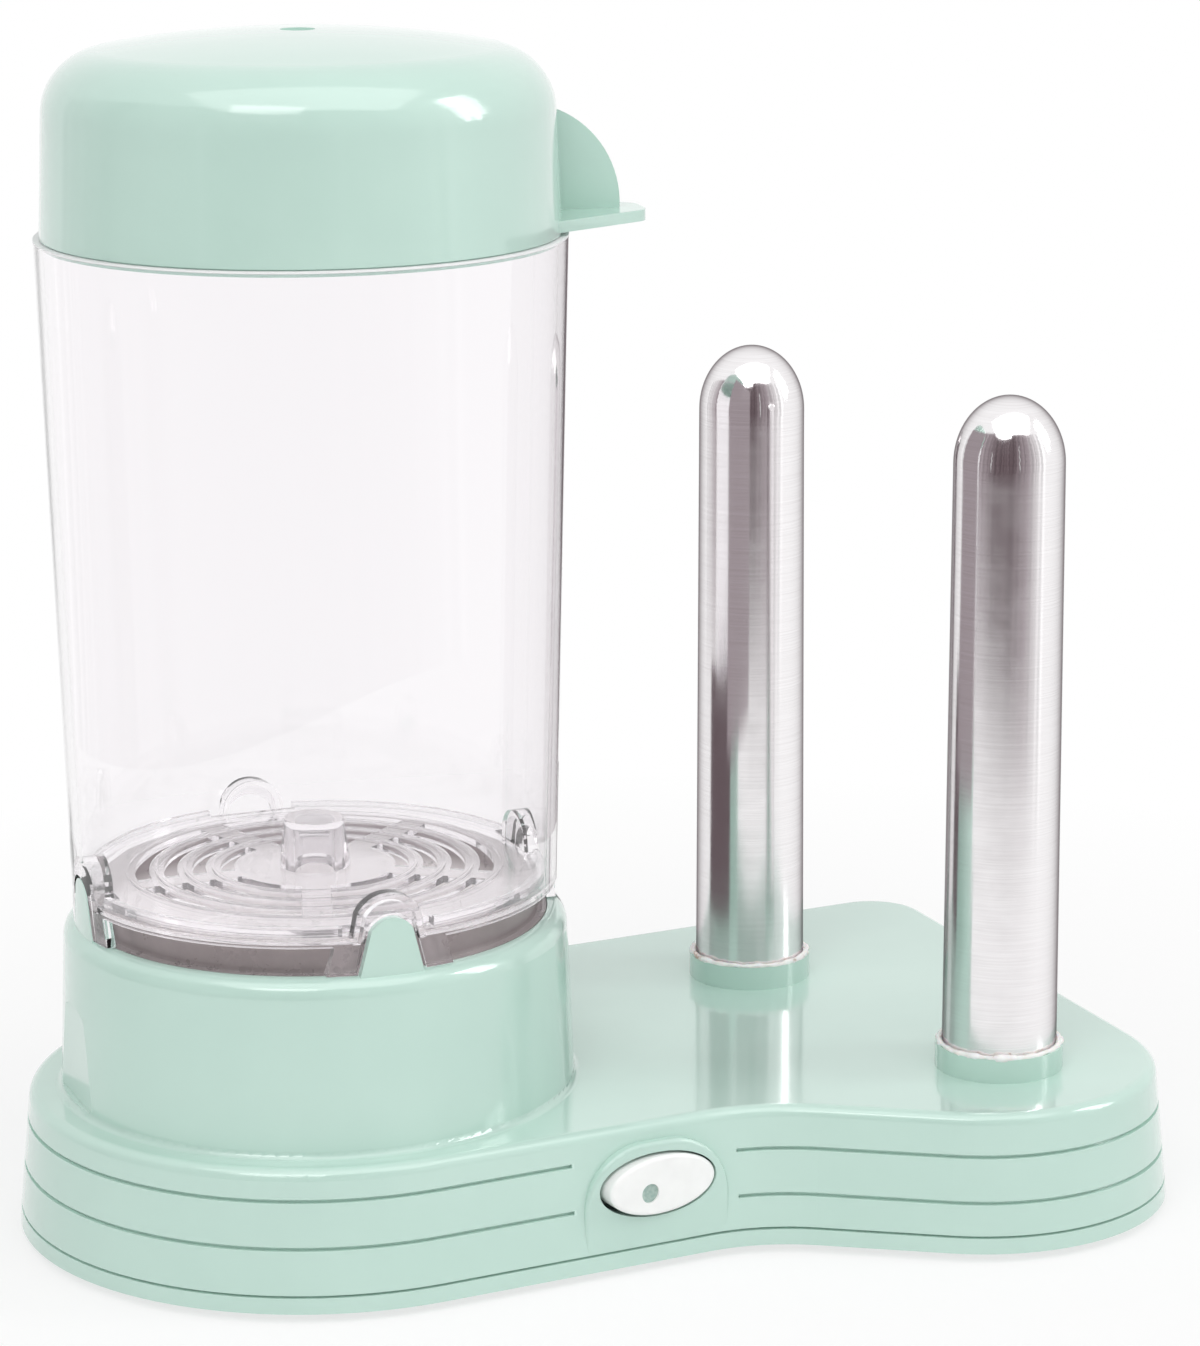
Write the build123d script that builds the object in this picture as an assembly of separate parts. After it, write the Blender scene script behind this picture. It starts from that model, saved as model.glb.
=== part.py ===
"""Hot dog steamer: a clear steam tower on a drum, beside a deck with two heated bun spikes. In mm, +Z up."""
import os
from math import asin, atan2, cos, degrees, hypot, radians, sin, sqrt

from build123d import *

# Base plan round the drum: a round tower end, a hollow waist front and back, a rounded wing
DRUM_R = 55.6
DECK_MARGIN = 10.0
WING_L = 116.4
BACK_STEP = 2.8
FRONT_BULGE = 33.0
SIDE_LEAN = 6.7
ROUND_BACK_RIGHT = 16.0
ROUND_FRONT_RIGHT = 43.0
ROUND_WAIST = 36.0
WAIST_REACH = 6.4
TOWER_ROUND = DRUM_R + DECK_MARGIN
RIGHT_END = TOWER_ROUND + WING_L
BACK_END = TOWER_ROUND - BACK_STEP
FRONT_END = TOWER_ROUND + FRONT_BULGE
WAIST_X = DRUM_R + WAIST_REACH

# Base heights
FOOT_H = 2.0
BASE_H = 30.0
DRAFT = 3.0
WALL = 2.5
DECK_ROUND = 2.5
PLATE_T = 2.8
RIM_H = 3.3
SEAM_H = 0.6
SEAM_DEPTH = 1.3
GROOVE_STEP = 10.0
GROOVE_W = 0.9
GROOVE_DEPTH = 1.1
GROOVE_BREAK = 2.2
GROOVE_DROP = 2.6

# Drum, tabs and water pan
DRUM_DRAFT = 1.3
DRUM_H = 37.6
DRUM_FOOT_ROUND = 1.4
SHOULDER_ROUND = 4.0
DRUM_FLANGE = 2.0
DRUM_FLANGE_T = 1.5
SCOOP_TURN = 176.0
SCOOP_W = 25.0
SCOOP_H = 21.0
SCOOP_DEPTH = 1.2
PAN_INSET = 7.6
PAN_R = DRUM_R - PAN_INSET
PAN_T = 1.0
PAN_DEPTH = 16.0
PAN_LIP = 6.2
PAN_FLANGE = 1.8
SEAL_T = 1.0
TAB_H = 11.9
TAB_W = 14.2
TAB_TOP_W = 9.0
TAB_GAP = 0.7
TAB_TURN = -5.0

# Heater under the pan
ELEMENT_R = 3.4
ELEMENT_SHARE = 0.588
ELEMENT_BEND = ELEMENT_SHARE * PAN_R
ELEMENT_GAP = 60.0
STUD_R = 2.0
STUD_X = 16.0
BRACKET_T = 1.5
BRACKET_W = 12.0
BRACKET_GAP = 0.5
LEG_GAP = 1.0
NUT_T = 3.0
NUT_R = 4.0
THERMOSTAT_R = 8.0
FUSE_R = 2.0
FUSE_L = 10.0
FUSE_GAP = 2.0
TAG_R = 1.5
TAG_L = 7.0

# Clear container, tray and lid
SKIRT_INSET = 3.6
MOUTH_FLARE = 3.6
SKIRT_R = DRUM_R - SKIRT_INSET
MOUTH_R = SKIRT_R + MOUTH_FLARE
CLEAR_T = 2.0
SEAT_GAP = 0.3
SKIRT_LIFT = 6.4
CONTAINER_H = 145.8
FOOT_W = 6.0
HOOD_T = 1.4
HOOD_DEPTH = 4.0
HOOD_RISE = 3.3
LEDGE_W = 3.6
LEDGE_T = 1.2
LEDGE_LIFT = 6.7
TRAY_T = 1.5
TRAY_GAP = 0.6
SLOT_RINGS = 4
SLOT_W = 3.0
SLOT_STEP = 6.1
SLOT_FIRST = 18.8
SPOKE_W = 6.0
SPOKE_TURN = -112.0
RIB = 0.6
HUB_R = 7.6
HUB_H = 10.4
LID_STEP = 1.3
LID_R = MOUTH_R - LID_STEP
LID_TAPER = 1.1
LID_H = 42.0
LID_ROUND = 13.5
LID_DOME = 3.4
LID_T = 2.2
PLUG_H = 1.6
PLUG_GAP = 0.5
VENT_R = 3.6
VENT_DEPTH = 0.8
HANDLE_TURN = -13.0
SHELF_REACH = 18.5
SHELF_W = 40.0
SHELF_TIP_W = 11.0
SHELF_T = 2.4
FIN_T = 3.0
FIN_H = 21.5
FIN_REACH = 13.4

# Bun spikes
SPIKE_R = 12.5
SPIKE_TOP_R = 11.9
SPIKE_H = 148.1
SPIKE_T = 0.8
SPIKE_DOME = 14.5
SPIKE_SINK = 11.0
REAR_FROM_END = 64.8
REAR_FROM_BACK = 43.2
FRONT_FROM_END = 47.6
FRONT_FROM_FRONT = 35.5
REAR_SPIKE = (RIGHT_END - REAR_FROM_END, BACK_END - REAR_FROM_BACK)
FRONT_SPIKE = (RIGHT_END - FRONT_FROM_END, FRONT_FROM_FRONT - FRONT_END)
SLEEVE_T = 0.5
SLEEVE_PROUD = 0.3
COLLAR_T = 1.0
COLLAR_H = 5.3
FLANGE_W = 4.5
FLANGE_T = 1.0
CLAMP_T = 1.6
CLAMP_REACH = 22.0
CLAMP_BORE = 4.0
CLAMP_BITE = 6.0
HEATER_R = 6.0
HEATER_H = 100.0

# Rocker switch on the front wall
SWITCH_BACK = 12.4
SWITCH_DROP = 12.8
SWITCH_X = WAIST_X - SWITCH_BACK
SWITCH_Z = BASE_H - SWITCH_DROP
PAD_W = 34.0
PAD_DROP = 3.6
PAD_TOP = BASE_H - PAD_DROP
PAD_CROWN = 14.0
PAD_WALL = 3.0
PAD_ROUND = 0.8
ROCKER_W = 26.2
ROCKER_H = 12.8
ROCKER_PROUD = 1.4
ROCKER_DEPTH = 6.0
ROCKER_GAP = 0.7
ROCKER_TILT = 6.0
PIVOT_DEPTH = 5.0
PIN_R = 1.25
PIN_FIT = 0.05
SWITCH_WALL = 1.6
SWITCH_DEPTH = 13.0
LENS_R = 2.1
LENS_T = 1.6
LENS_RECESS = 0.5
LENS_SIDE = 3.4
LENS_DROP = 1.2

# Fasteners, feet and the rear cord inlet
SCREW_R = 1.4
SCREW_HEAD_R = 3.0
SCREW_HEAD_T = 1.5
BOSS_R = 4.0
SCREW_BITE = 10.0
BOSSES = (
    (TOWER_ROUND + 20.3, 13.7 - TOWER_ROUND),
    (RIGHT_END - 35.0, 15.0 - FRONT_END),
    (RIGHT_END - 17.0, BACK_END - 14.5),
    (TOWER_ROUND + 28.3, BACK_END - 12.5),
)
TOWER_BOSS_R = DRUM_R - 5.6
TOWER_BOSS_TURNS = (140.0, 220.0)
TOWER_FOOT_R = DRUM_R - 6.0
TOWER_FOOT_TURNS = (114.0, -114.0)
WING_FOOT_IN = 33.0
WING_FEET = (
    (RIGHT_END - WING_FOOT_IN, BACK_END - WING_FOOT_IN),
    (RIGHT_END - WING_FOOT_IN, WING_FOOT_IN - FRONT_END),
)
FOOT_R = 8.0
PEG_R = 3.0
INLET_R = 3.3
GLAND_R = 6.0
GLAND_FLANGE = 2.4
GLAND_PROUD = 2.0
GLAND_X = WAIST_X + 2.0
GLAND_Z = 17.0
BLOCK_X = TOWER_ROUND + 21.3
BLOCK_Y = 2.0
BLOCK_L = 26.0
BLOCK_W = 14.0
BLOCK_H = 11.0
BLOCK_STEP = 8.0
BLOCK_HOLE_R = 2.0
BLOCK_HOLE_D = 6.0
VENT_SLOTS = 6
VENT_SLOT_L = 34.0
VENT_SLOT_W = 2.6
VENT_SLOT_STEP = 7.0
VENT_SLOT_X = 8.0
VENT_SLOT_Y = -10.0

# Heights and places that follow
EDGE_Z = FOOT_H
SEAM_Z = EDGE_Z + RIM_H
BODY_Z = SEAM_Z + SEAM_H
DECK_Z = EDGE_Z + BASE_H
UNDER_Z = DECK_Z - WALL
PLATE_Z = EDGE_Z + PLATE_T
SHOULDER_Z = DECK_Z + DRUM_H
PAN_FLOOR_Z = SHOULDER_Z - PAN_DEPTH
BRACKET_Z = PAN_FLOOR_Z - 2 * ELEMENT_R
SEAT_Z = SHOULDER_Z - PAN_T - SEAL_T
LEDGE_Z = SHOULDER_Z + LEDGE_LIFT
LEDGE_TOP = LEDGE_Z + LEDGE_T
TRAY_Z = LEDGE_TOP + SEAT_GAP
MOUTH_Z = SHOULDER_Z + CONTAINER_H
LID_Z = MOUTH_Z + SEAT_GAP
COLLAR_R = SPIKE_R + SLEEVE_T + COLLAR_T
FLANGE_Z = DECK_Z - SPIKE_SINK
CLAMP_Z = FLANGE_Z - FLANGE_T
TAB_OUT = SKIRT_R
TAB_IN = SKIRT_R - CLEAR_T
QUARTERS = tuple(TAB_TURN + 90 * k for k in range(4))
TABS = QUARTERS[2:]

AXIS = (0.0, 0.0)
WAIST = (WAIST_X, -TOWER_ROUND - ROUND_WAIST)
BACK_REACH = BACK_END + ROUND_WAIST
BACK_WAIST = (sqrt((TOWER_ROUND + ROUND_WAIST) ** 2 - BACK_REACH**2), BACK_REACH)
BACK_RIGHT = (RIGHT_END - ROUND_BACK_RIGHT, BACK_END - ROUND_BACK_RIGHT)
FRONT_RIGHT = (RIGHT_END - SIDE_LEAN - ROUND_FRONT_RIGHT, ROUND_FRONT_RIGHT - FRONT_END)
TOWER_X = (TOWER_ROUND - RIGHT_END) / 2
TOWER_Y = (FRONT_END - TOWER_ROUND) / 2
PLACE = Location((TOWER_X, TOWER_Y, 0))


def bearing(start, end):
    return degrees(atan2(end[1] - start[1], end[0] - start[0]))


def spread(start, end):
    return hypot(end[0] - start[0], end[1] - start[1])


BACK_TURN = bearing(AXIS, BACK_WAIST)
BULGE_TURN = bearing(WAIST, FRONT_RIGHT) - degrees(
    asin((ROUND_WAIST + ROUND_FRONT_RIGHT) / spread(WAIST, FRONT_RIGHT))
)
SIDE_TURN = bearing(BACK_RIGHT, FRONT_RIGHT) + 90 + degrees(
    asin((ROUND_FRONT_RIGHT - ROUND_BACK_RIGHT) / spread(BACK_RIGHT, FRONT_RIGHT))
)


def on_circle(centre, radius, angle):
    return (centre[0] + radius * cos(radians(angle)), centre[1] + radius * sin(radians(angle)))


def plan(inset):
    """Face of the base plan, every side moved inwards by inset."""
    tower = TOWER_ROUND - inset
    back_right = ROUND_BACK_RIGHT - inset
    front_right = ROUND_FRONT_RIGHT - inset
    waist = ROUND_WAIST + inset
    edges = [
        CenterArc(AXIS, tower, BACK_TURN, 270 - BACK_TURN),
        CenterArc(BACK_WAIST, waist, BACK_TURN + 180, 90 - BACK_TURN),
        Line(on_circle(BACK_WAIST, waist, 270), on_circle(BACK_RIGHT, back_right, 90)),
        CenterArc(BACK_RIGHT, back_right, SIDE_TURN, 90 - SIDE_TURN),
        Line(on_circle(BACK_RIGHT, back_right, SIDE_TURN), on_circle(FRONT_RIGHT, front_right, SIDE_TURN)),
        CenterArc(FRONT_RIGHT, front_right, BULGE_TURN - 90, SIDE_TURN + 90 - BULGE_TURN),
        Line(on_circle(FRONT_RIGHT, front_right, BULGE_TURN - 90), on_circle(WAIST, waist, BULGE_TURN + 90)),
        CenterArc(WAIST, waist, BULGE_TURN + 90, -BULGE_TURN),
        Line(on_circle(WAIST, waist, 90), on_circle(AXIS, tower, 270)),
    ]
    return make_face(edges)


def inset_at(z):
    return DRAFT * (z - EDGE_Z) / BASE_H


def skirt(z0, z1, extra):
    """Drafted block of the base between two heights, extra inside the outer face."""
    low = Pos(0, 0, z0) * plan(inset_at(z0) + extra)
    high = Pos(0, 0, z1) * plan(inset_at(z1) + extra)
    return loft([low, high], ruled=True)


def tube(outer, inner, z0, z1):
    ring = Pos(0, 0, z0) * Cylinder(outer, z1 - z0, align=(Align.CENTER, Align.CENTER, Align.MIN))
    bore = Pos(0, 0, z0) * Cylinder(inner, z1 - z0, align=(Align.CENTER, Align.CENTER, Align.MIN))
    return ring - bore


def rod(radius, z0, z1):
    return Pos(0, 0, z0) * Cylinder(radius, z1 - z0, align=(Align.CENTER, Align.CENTER, Align.MIN))


def spin(*edges):
    """Solid of revolution about the tower axis from a profile drawn in X and Z."""
    return revolve(make_face(list(edges)), Axis.Z)


def path(*points):
    return Polyline(*[(r, 0, z) for r, z in points])


def arch(width, top_width, height):
    """Upright arch on the X axis of a sketch: straight leaning sides and a round crown."""
    crown = top_width / 2
    spring = height - crown * 0.6
    sides = Polyline((-crown, spring), (-width / 2, 0), (width / 2, 0), (crown, spring))
    return make_face([*sides.edges(), ThreePointArc((crown, spring), (0, height), (-crown, spring))])


def radial(angle, radius, z):
    """Plane across the radius at an angle: X along the rim, Y up, normal outwards."""
    at = (radius * cos(radians(angle)), radius * sin(radians(angle)), z)
    across = (-sin(radians(angle)), cos(radians(angle)), 0)
    return Plane(origin=at, x_dir=across, z_dir=(cos(radians(angle)), sin(radians(angle)), 0))


def wall_plane(x, side, z):
    """Upright plane on a straight base wall, flush with its foot: X along the wall, Y up, normal outwards."""
    reach = (TOWER_ROUND if side < 0 else BACK_END) - inset_at(BODY_Z)
    return Plane(origin=(x, side * reach, z), x_dir=(-side, 0, 0), z_dir=(0, side, 0))


TOWER_BOSSES = tuple(on_circle(AXIS, TOWER_BOSS_R, turn) for turn in TOWER_BOSS_TURNS)
FEET = tuple(on_circle(AXIS, TOWER_FOOT_R, turn) for turn in TOWER_FOOT_TURNS) + WING_FEET
PAD_FACE = wall_plane(SWITCH_X, -1, EDGE_Z)
SWITCH_FACE = wall_plane(SWITCH_X, -1, EDGE_Z + SWITCH_Z)
GLAND_FACE = wall_plane(GLAND_X, 1, GLAND_Z)
PIVOT = SWITCH_FACE.offset(-PIVOT_DEPTH).origin
ROCKED = Location(PIVOT) * Rotation(0, 0, ROCKER_TILT) * Location(-PIVOT)


def screw(z_head, length, radius=SCREW_R):
    """Pan-head screw driven upwards, its head resting under z_head."""
    head = rod(SCREW_HEAD_R, z_head - SCREW_HEAD_T, z_head)
    slot = Pos(0, 0, z_head - SCREW_HEAD_T) * Box(SCREW_HEAD_R * 1.5, 0.6, 1.0)
    return head + rod(radius, z_head, z_head + length) - slot


def drum_shell():
    """Hollow drum with a foot round, a flange under the deck, a rounded shoulder and a seat for the pan."""
    top = DRUM_R - DRUM_DRAFT
    bottom_in = DRUM_R - WALL
    top_in = top - WALL
    recess = PAN_R + PAN_FLANGE + 0.2
    lip = PAN_R + 0.4
    foot = DRUM_R + DRUM_FOOT_ROUND
    bend = DRUM_FOOT_ROUND * (1 - sqrt(0.5))
    crest = SHOULDER_ROUND * (1 - sqrt(0.5))
    edges = [
        path(
            (top - SHOULDER_ROUND, SHOULDER_Z),
            (recess, SHOULDER_Z),
            (recess, SEAT_Z),
            (lip, SEAT_Z),
            (lip, SEAT_Z - WALL),
            (top_in, SEAT_Z - WALL),
            (bottom_in, UNDER_Z - DRUM_FLANGE_T),
            (foot + DRUM_FLANGE, UNDER_Z - DRUM_FLANGE_T),
            (foot + DRUM_FLANGE, UNDER_Z),
            (foot, UNDER_Z),
            (foot, DECK_Z),
        ),
        ThreePointArc(
            (foot, 0, DECK_Z),
            (DRUM_R + bend, 0, DECK_Z + bend),
            (DRUM_R, 0, DECK_Z + DRUM_FOOT_ROUND),
        ),
        path((DRUM_R, DECK_Z + DRUM_FOOT_ROUND), (top, SHOULDER_Z - SHOULDER_ROUND)),
        ThreePointArc(
            (top, 0, SHOULDER_Z - SHOULDER_ROUND),
            (top - crest, 0, SHOULDER_Z - crest),
            (top - SHOULDER_ROUND, 0, SHOULDER_Z),
        ),
    ]
    return spin(*edges)


def scoop():
    """Cutter of the shallow finger scoop on the tower's outer side."""
    plane = radial(SCOOP_TURN, DRUM_R - SCOOP_DEPTH, DECK_Z + DRUM_FOOT_ROUND)
    shape = extrude(plane * arch(SCOOP_W, SCOOP_W * 0.86, SCOOP_H), WALL + SCOOP_DEPTH)
    core = rod(DRUM_R - SCOOP_DEPTH, DECK_Z, SHOULDER_Z)
    return shape - core


def tab(angle):
    """Upright locating tab, cut to the curve of the container wall."""
    root = SHOULDER_Z - 1
    block = extrude(radial(angle, TAB_IN - 2, root) * arch(TAB_W, TAB_TOP_W, TAB_H + 1), CLEAR_T + 4)
    return block & tube(TAB_OUT, TAB_IN, root, SHOULDER_Z + TAB_H)


def tower_drum():
    body = drum_shell()
    for x, y in TOWER_BOSSES:
        body += Pos(x, y, 0) * rod(BOSS_R, PLATE_Z, DECK_Z + BOSS_R)
    for angle in TABS:
        body += tab(angle)
    for x, y in TOWER_BOSSES:
        body -= Pos(x, y, 0) * rod(SCREW_R, PLATE_Z, PLATE_Z + SCREW_BITE + PLATE_T)
    return body - scoop()


def spike_seat(centre):
    collar = rod(COLLAR_R, FLANGE_Z, DECK_Z + COLLAR_H)
    posts = rod(BOSS_R, CLAMP_Z, UNDER_Z + 0.5)
    seat = collar + Pos(CLAMP_REACH, 0, 0) * posts + Pos(-CLAMP_REACH, 0, 0) * posts
    return Pos(*centre, 0) * seat


def spike_seat_cut(centre):
    pilot = rod(SCREW_R, CLAMP_Z, UNDER_Z)
    cut = rod(SPIKE_R + SLEEVE_T, FLANGE_Z, DECK_Z + COLLAR_H)
    cut = cut + Pos(CLAMP_REACH, 0, 0) * pilot + Pos(-CLAMP_REACH, 0, 0) * pilot
    return Pos(*centre, 0) * cut


def switch_pad():
    """Upright arched pad for the switch, flush with the leaning wall at its foot."""
    low = BODY_Z - EDGE_Z
    face = PAD_FACE * Pos(0, low) * Rectangle(PAD_W, PAD_TOP - low, align=(Align.CENTER, Align.MIN))
    corners = face.vertices().group_by(Axis.Z)[-1]
    pad = extrude(fillet(corners, PAD_CROWN), -PAD_WALL - WALL)
    front = pad.faces().sort_by(Axis.Y)[0]
    floor = BODY_Z + 0.01
    return fillet([e for e in front.edges() if e.center().Z > floor], PAD_ROUND)


def switch_cut():
    oval = Ellipse(ROCKER_W / 2 + ROCKER_GAP, ROCKER_H / 2 + ROCKER_GAP)
    window = extrude(SWITCH_FACE * oval, 4, both=True)
    room = SWITCH_FACE.offset(-PAD_WALL) * Rectangle(ROCKER_W + 8, ROCKER_H + 2 * SWITCH_WALL + 2)
    return window + extrude(room, -WALL - 4)


def groove(z, side):
    """Cutter of one shallow line round the tower end or the wing, stopping beside the switch pad."""
    ring = plan(-2) - plan(inset_at(z) + GROOVE_DEPTH)
    cut = extrude(Pos(0, 0, z - GROOVE_W / 2) * ring, GROOVE_W)
    stop = SWITCH_X + side * (PAD_W / 2 + GROOVE_BREAK)
    grip = Align.MIN if side > 0 else Align.MAX
    return cut & Pos(stop, 0, z) * Box(2 * RIGHT_END, 3 * FRONT_END, BASE_H, align=(grip, Align.CENTER, Align.CENTER))


def base_housing():
    outer = skirt(BODY_Z, DECK_Z, 0)
    top = outer.edges().filter_by(lambda e: abs(e.center().Z - DECK_Z) < 0.01)
    body = fillet(top, DECK_ROUND) - skirt(BODY_Z, UNDER_Z, WALL)
    body -= rod(DRUM_R + DRUM_FOOT_ROUND, UNDER_Z, DECK_Z)
    body += switch_pad()
    boss = rod(GLAND_R + GLAND_FLANGE + 1, 0, WALL + 3)
    body += GLAND_FACE.offset(-WALL - 3).location * boss
    for x, y in BOSSES:
        body += Pos(x, y, 0) * rod(BOSS_R, PLATE_Z, UNDER_Z + 0.5)
    for centre in (REAR_SPIKE, FRONT_SPIKE):
        body += spike_seat(centre)
    for rise in (GROOVE_STEP, 2 * GROOVE_STEP):
        body -= groove(BODY_Z - SEAM_H / 2 + rise, -1)
        body -= groove(BODY_Z - SEAM_H / 2 + rise - GROOVE_DROP, 1)
    body -= switch_cut()
    body -= GLAND_FACE.offset(-WALL - 8).location * rod(GLAND_R, 0, WALL + 12)
    for x, y in BOSSES:
        body -= Pos(x, y, 0) * rod(SCREW_R, PLATE_Z, PLATE_Z + SCREW_BITE + PLATE_T)
    for centre in (REAR_SPIKE, FRONT_SPIKE):
        body -= spike_seat_cut(centre)
    return body


def bottom_plate():
    slab = skirt(EDGE_Z, SEAM_Z, 0) - skirt(PLATE_Z, SEAM_Z + 1, WALL)
    step = skirt(SEAM_Z, BODY_Z, SEAM_DEPTH) - skirt(SEAM_Z, BODY_Z, WALL)
    plate = slab + step
    for x, y in BOSSES + TOWER_BOSSES:
        plate -= Pos(x, y, 0) * rod(SCREW_R + 0.2, EDGE_Z, PLATE_Z)
        plate -= Pos(x, y, 0) * rod(SCREW_HEAD_R + 0.4, EDGE_Z, EDGE_Z + SCREW_HEAD_T + 0.2)
        plate -= Pos(x, y, 0) * rod(BOSS_R + 0.2, PLATE_Z, BODY_Z + 1)
    for x, y in FEET:
        plate -= Pos(x, y, 0) * rod(PEG_R, EDGE_Z, PLATE_Z)
    for k in range(VENT_SLOTS):
        slot = Box(VENT_SLOT_L, VENT_SLOT_W, PLATE_T * 3)
        plate -= Pos(VENT_SLOT_X, VENT_SLOT_Y + VENT_SLOT_STEP * k, PLATE_Z) * slot
    return plate


def rubber_feet():
    foot = rod(FOOT_R, 0, FOOT_H) + rod(PEG_R, FOOT_H, PLATE_Z)
    return Compound([Pos(x, y, 0) * foot for x, y in FEET])


def base_screws():
    one = screw(EDGE_Z + SCREW_HEAD_T + 0.2, PLATE_T + SCREW_BITE)
    return Compound([Pos(x, y, 0) * one for x, y in BOSSES + TOWER_BOSSES])


def heating_pan():
    bend = 4.0
    low = PAN_FLOOR_Z
    inner = PAN_R - PAN_T
    turn = bend * (1 - sqrt(0.5))
    rim = SHOULDER_Z + PAN_LIP
    edges = [
        path((0, low), (PAN_R - bend, low)),
        ThreePointArc((PAN_R - bend, 0, low), (PAN_R - turn, 0, low + turn), (PAN_R, 0, low + bend)),
        path(
            (PAN_R, low + bend),
            (PAN_R, SHOULDER_Z - PAN_T),
            (PAN_R + PAN_FLANGE, SHOULDER_Z - PAN_T),
            (PAN_R + PAN_FLANGE, SHOULDER_Z),
            (PAN_R, SHOULDER_Z),
            (PAN_R, rim),
            (inner, rim),
            (inner, low + PAN_T),
            (0, low + PAN_T),
            (0, low),
        ),
    ]
    stud = rod(STUD_R, BRACKET_Z - BRACKET_T - NUT_T - 1, low + 0.5)
    return spin(*edges) + Pos(STUD_X, 0, 0) * stud + Pos(-STUD_X, 0, 0) * stud


def pan_seal():
    return tube(PAN_R + PAN_FLANGE, PAN_R + 0.4, SEAT_Z, SEAT_Z + SEAL_T)


def element_ring():
    z = PAN_FLOOR_Z - ELEMENT_R
    section = Plane(origin=(ELEMENT_BEND, 0, z), x_dir=(1, 0, 0), z_dir=(0, -1, 0)) * Circle(ELEMENT_R)
    ring = revolve(section, Axis.Z, 360 - ELEMENT_GAP)
    return Rotation(0, 0, ELEMENT_GAP / 2 - 90) * ring


def element_terminals():
    pins = []
    for angle, turn in ((ELEMENT_GAP / 2 - 90, -90), (-ELEMENT_GAP / 2 - 90, 90)):
        x, y = on_circle((0, 0), ELEMENT_BEND, angle)
        way = (cos(radians(angle + turn)), sin(radians(angle + turn)), 0)
        pins.append(Plane(origin=(x, y, PAN_FLOOR_Z - ELEMENT_R), z_dir=way).location * rod(TAG_R, 0, TAG_L))
    return Compound(pins)


def thermostat():
    split = PAN_FLOOR_Z - 2.4
    return rod(THERMOSTAT_R, split, PAN_FLOOR_Z) + rod(THERMOSTAT_R - 1.5, BRACKET_Z, split)


def thermal_fuse():
    x = ELEMENT_BEND + ELEMENT_R + FUSE_GAP
    return Plane(origin=(x, 0, BRACKET_Z + FUSE_R), z_dir=(1, 0, 0)).location * rod(FUSE_R, 0, FUSE_L)


def pan_bracket():
    """Strap pulled up to the pan by its studs, its turned-up legs bearing under the drum's ledge."""
    reach = DRUM_R - DRUM_DRAFT - WALL - BRACKET_GAP
    thick = reach - PAN_R - LEG_GAP
    top = SEAT_Z - WALL
    low = BRACKET_Z - BRACKET_T
    bar = Pos(0, 0, low + BRACKET_T / 2) * Box(2 * reach, BRACKET_W, BRACKET_T)
    leg = Box(thick, BRACKET_W, top - low, align=(Align.MAX, Align.CENTER, Align.MIN))
    bar = bar + Pos(reach, 0, low) * leg + Pos(thick - reach, 0, low) * leg
    hole = rod(STUD_R, low, BRACKET_Z)
    return bar - Pos(STUD_X, 0, 0) * hole - Pos(-STUD_X, 0, 0) * hole


def pan_nuts():
    low = BRACKET_Z - BRACKET_T - NUT_T
    nut = extrude(Pos(0, 0, low) * RegularPolygon(NUT_R, 6), NUT_T) - rod(STUD_R, low, low + NUT_T)
    return Compound([Pos(STUD_X, 0, 0) * nut, Pos(-STUD_X, 0, 0) * nut])


def dome_curve(radius, spring, rise):
    """Quarter of an ellipse from the side of a spike up to its tip."""
    pull = 0.552
    return Bezier(
        (radius, 0, spring),
        (radius, 0, spring + pull * rise),
        (pull * radius, 0, spring + rise),
        (0, 0, spring + rise),
    )


def bun_spike(centre):
    top = DECK_Z + SPIKE_H
    spring = top - SPIKE_DOME
    inner = SPIKE_TOP_R - SPIKE_T
    neck = DECK_Z + COLLAR_H
    edges = [
        path(
            (inner, spring),
            (SPIKE_R - SPIKE_T, CLAMP_Z),
            (SPIKE_R + FLANGE_W, CLAMP_Z),
            (SPIKE_R + FLANGE_W, FLANGE_Z),
            (SPIKE_R, FLANGE_Z),
            (SPIKE_R, neck),
            (SPIKE_TOP_R, spring),
        ),
        dome_curve(SPIKE_TOP_R, spring, SPIKE_DOME),
        path((0, top), (0, top - SPIKE_T)),
        dome_curve(inner, spring, SPIKE_DOME - SPIKE_T),
    ]
    return Pos(*centre, 0) * spin(*edges)


def spike_sleeve(centre):
    sleeve = tube(SPIKE_R + SLEEVE_T, SPIKE_R, FLANGE_Z, DECK_Z + COLLAR_H + SLEEVE_PROUD)
    return Pos(*centre, 0) * sleeve


def spike_heater(centre):
    base = rod(SPIKE_R - SPIKE_T - 0.5, CLAMP_Z, CLAMP_Z + 3)
    return Pos(*centre, 0) * (base + rod(HEATER_R, CLAMP_Z + 3, CLAMP_Z + 3 + HEATER_H))


def spike_clamp(centre):
    ear = Pos(CLAMP_REACH, 0) * Circle(SCREW_R + 0.2) + Pos(-CLAMP_REACH, 0) * Circle(SCREW_R + 0.2)
    shape = Circle(SPIKE_R + FLANGE_W) + SlotCenterToCenter(2 * CLAMP_REACH, 2 * BOSS_R)
    shape = shape - Circle(CLAMP_BORE) - ear
    return Pos(*centre, 0) * extrude(Pos(0, 0, CLAMP_Z - CLAMP_T) * shape, CLAMP_T)


def clamp_screws():
    one = screw(CLAMP_Z - CLAMP_T, CLAMP_T + CLAMP_BITE)
    places = [(x + side, y) for x, y in (REAR_SPIKE, FRONT_SPIKE) for side in (-CLAMP_REACH, CLAMP_REACH)]
    return Compound([Pos(x, y, 0) * one for x, y in places])


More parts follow.
